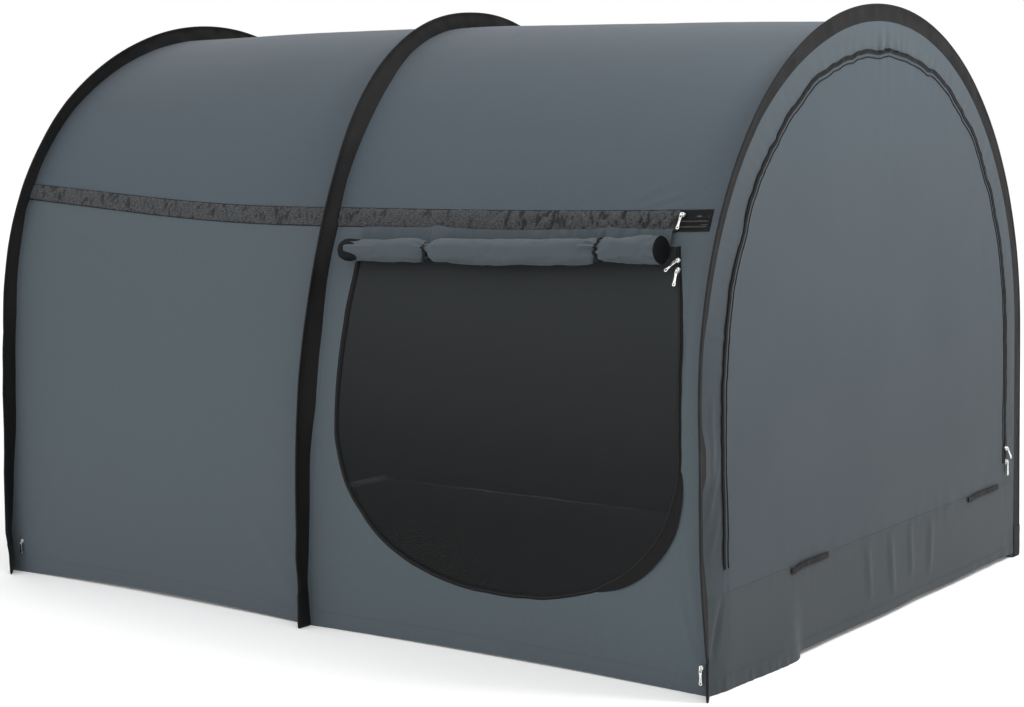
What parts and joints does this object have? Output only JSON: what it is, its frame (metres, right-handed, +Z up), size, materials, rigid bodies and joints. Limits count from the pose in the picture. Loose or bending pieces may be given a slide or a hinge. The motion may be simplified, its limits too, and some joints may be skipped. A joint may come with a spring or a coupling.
{
  "type": "bed tent",
  "caption": "Hooped fabric tent that stands over a mattress, with arched zip doors at its ends and mesh windows with rolled covers.",
  "frame": {"origin": "on the floor, under the middle of the whole object", "axes": "+X along the bed towards the front end, +Y towards the right side, +Z up"},
  "size_m": [2.0498, 1.539, 1.38],
  "materials": {
    "slate_polyester": "slate grey woven polyester, slight sheen",
    "slate_polyester_end": "the same cloth, a little darker at the ends",
    "heather_band": "heathered brown-grey band, puckered",
    "black_webbing": "black woven sleeve cloth",
    "window_mesh": "fine black insect mesh",
    "zip_tape": "black coil zip on woven tape",
    "zip_metal": "bright plated metal",
    "pole": "glass-fibre rod"
  },
  "bodies": {
    "tent": {"corner_back_slider": "zip_metal", "corner_front_slider": "zip_metal", "cover_tie_left_1": "black_webbing", "cover_tie_left_2": "black_webbing", "cover_tie_right_1": "black_webbing", "cover_tie_right_2": "black_webbing", "door_back": "slate_polyester", "door_front": "slate_polyester", "door_lower_slider": "zip_metal", "door_upper_slider": "zip_metal", "door_zip_back": "zip_tape", "door_zip_front": "zip_tape", "eave_band_left_back": "heather_band", "eave_band_left_front": "heather_band", "eave_band_right_back": "heather_band", "eave_band_right_front": "heather_band", "eave_slider": "zip_metal", "end_surround_back": "slate_polyester_end", "end_surround_front": "slate_polyester_end", "foot_pocket_left_back": "black_webbing", "foot_pocket_left_front": "black_webbing", "foot_pocket_left_middle": "black_webbing", "foot_pocket_right_back": "black_webbing", "foot_pocket_right_front": "black_webbing", "foot_pocket_right_middle": "black_webbing", "pole_back": "pole", "pole_front": "pole", "pole_middle": "pole", "roof_back": "slate_polyester", "roof_front": "slate_polyester", "skirt_back": "slate_polyester_end", "skirt_front": "slate_polyester_end", "sleeve_back": "black_webbing", "sleeve_front": "black_webbing", "sleeve_middle": "black_webbing", "wall_left_back": "slate_polyester", "wall_left_front": "slate_polyester", "wall_right_back": "slate_polyester", "wall_right_front": "slate_polyester", "window_cover_left": "slate_polyester", "window_cover_right": "slate_polyester", "window_lower_slider": "zip_metal", "window_mesh_left": "window_mesh", "window_mesh_right": "window_mesh", "window_upper_slider": "zip_metal", "window_zip_left": "zip_tape", "window_zip_right": "zip_tape"},
    "corner_back_pull": {"corner_back_pull": "zip_metal"},
    "corner_front_pull": {"corner_front_pull": "zip_metal"},
    "door_lower_pull": {"door_lower_pull": "zip_metal"},
    "door_upper_pull": {"door_upper_pull": "zip_metal"},
    "eave_pull": {"eave_pull": "zip_metal"},
    "window_lower_pull": {"window_lower_pull": "zip_metal"},
    "window_upper_pull": {"window_upper_pull": "zip_metal"}
  },
  "joints": [
    {"name": "corner_back_pull_hinge", "type": "hinge", "parent": "tent", "child": "corner_back_pull", "pos_m": [-1.00564, -0.7292, 0.0772], "axis": [-0.9992, -0.0392, 0], "range_deg": [0, 120]},
    {"name": "corner_front_pull_hinge", "type": "hinge", "parent": "tent", "child": "corner_front_pull", "pos_m": [0.98936, -0.72888, 0.0542], "axis": [-0.9993, 0.0362, 0], "range_deg": [0, 120]},
    {"name": "door_lower_pull_hinge", "type": "hinge", "parent": "tent", "child": "door_lower_pull", "pos_m": [1.0221, 0.668, 0.2502], "axis": [0, -1, 0], "range_deg": [0, 120]},
    {"name": "door_upper_pull_hinge", "type": "hinge", "parent": "tent", "child": "door_upper_pull", "pos_m": [1.0221, 0.66911, 0.28358], "axis": [0, -0.788, -0.6157], "range_deg": [0, 120]},
    {"name": "eave_pull_hinge", "type": "hinge", "parent": "tent", "child": "eave_pull", "pos_m": [0.89581, -0.63196, 0.94703], "axis": [-0.9956, 0.0934, 0], "range_deg": [0, 120]},
    {"name": "window_lower_pull_hinge", "type": "hinge", "parent": "tent", "child": "window_lower_pull", "pos_m": [0.91203, -0.67928, 0.83945], "axis": [-0.9957, 0.0926, 0], "range_deg": [0, 120]},
    {"name": "window_upper_pull_hinge", "type": "hinge", "parent": "tent", "child": "window_upper_pull", "pos_m": [0.90573, -0.67195, 0.85817], "axis": [-0.681, 0.3126, 0.6622], "range_deg": [0, 120]}
  ]
}
